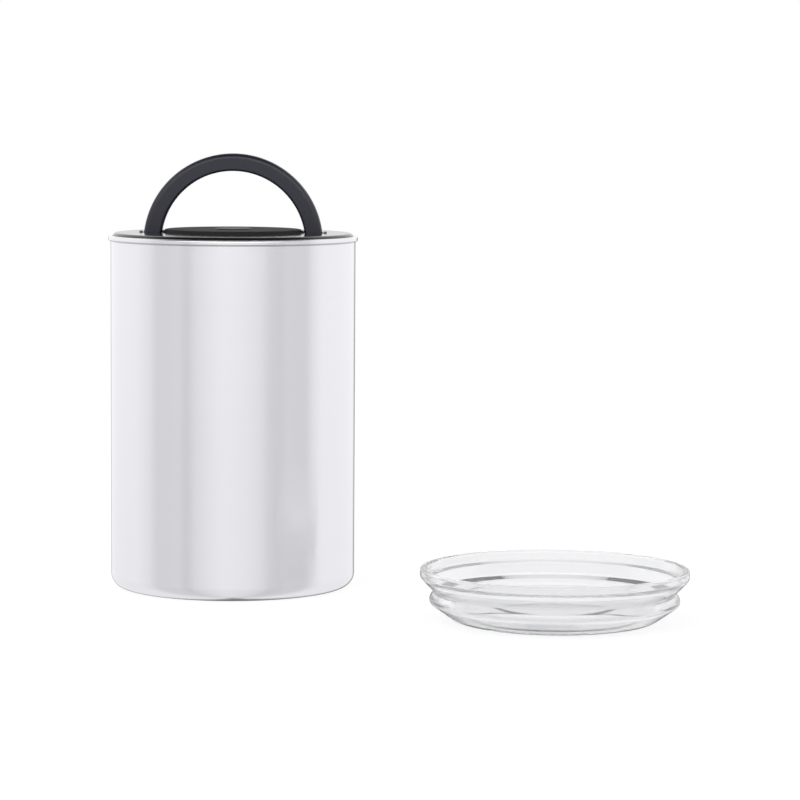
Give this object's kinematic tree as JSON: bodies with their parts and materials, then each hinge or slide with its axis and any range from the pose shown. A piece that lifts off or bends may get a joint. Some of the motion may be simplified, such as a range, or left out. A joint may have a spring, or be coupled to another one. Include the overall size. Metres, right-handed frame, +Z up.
{
  "type": "coffee canister with valve",
  "caption": "Steel storage can with a sinking inner lid, a folding arch handle that works an air valve, and a clear plug lid lying beside it.",
  "frame": {"origin": "middle of the can's underside, on the table", "axes": "+Z up along the can's axis, front towards -Y, clear outer lid to the right (+X) and in front"},
  "size_m": [0.289, 0.2384, 0.2217],
  "materials": {
    "steel": "brushed",
    "black_moulding": "satin",
    "handle": "fine matt texture",
    "gasket": "soft silicone",
    "washer": "soft silicone",
    "guide": "satin acetal",
    "hardware": "bright stainless",
    "clear": "clear polished plastic"
  },
  "bodies": {
    "canister": {"canister_body": "steel"},
    "inner_lid": {"lid_cover": "black_moulding", "centre_cap": "black_moulding", "pivot_pin_left": "hardware", "pivot_pin_right": "hardware", "lid_base": "black_moulding", "wiper_gasket": "gasket", "valve_guide": "guide", "valve_spring": "hardware", "base_screws": "hardware"},
    "handle": {"handle": "handle"},
    "valve": {"valve_stem": "guide", "valve_washer": "washer", "spring_clip": "hardware"},
    "clear_lid": {"clear_lid": "clear"}
  },
  "joints": [
    {"name": "lid_slide", "type": "slide", "parent": "canister", "child": "inner_lid", "axis": [0, 0, 1], "range_m": [-0.145, 0.06]},
    {"name": "handle_fold", "type": "hinge", "parent": "inner_lid", "child": "handle", "pos_m": [0, 0, 0.1759], "axis": [-1, 0, 0], "range_deg": [0, 90]},
    {"name": "valve_travel", "type": "slide", "parent": "inner_lid", "child": "valve", "axis": [0, 0, 1], "range_m": [0, 0.0016], "deforming": ["valve_spring"]},
    {"name": "clear_lid_lift", "type": "slide", "parent": "canister", "child": "clear_lid", "axis": [0, 0, 1], "range_m": [0, 0.25]}
  ],
  "couplings": [
    {"joint": "valve_travel", "follows": "handle_fold", "m_per_rad": 0.0010186}
  ]
}
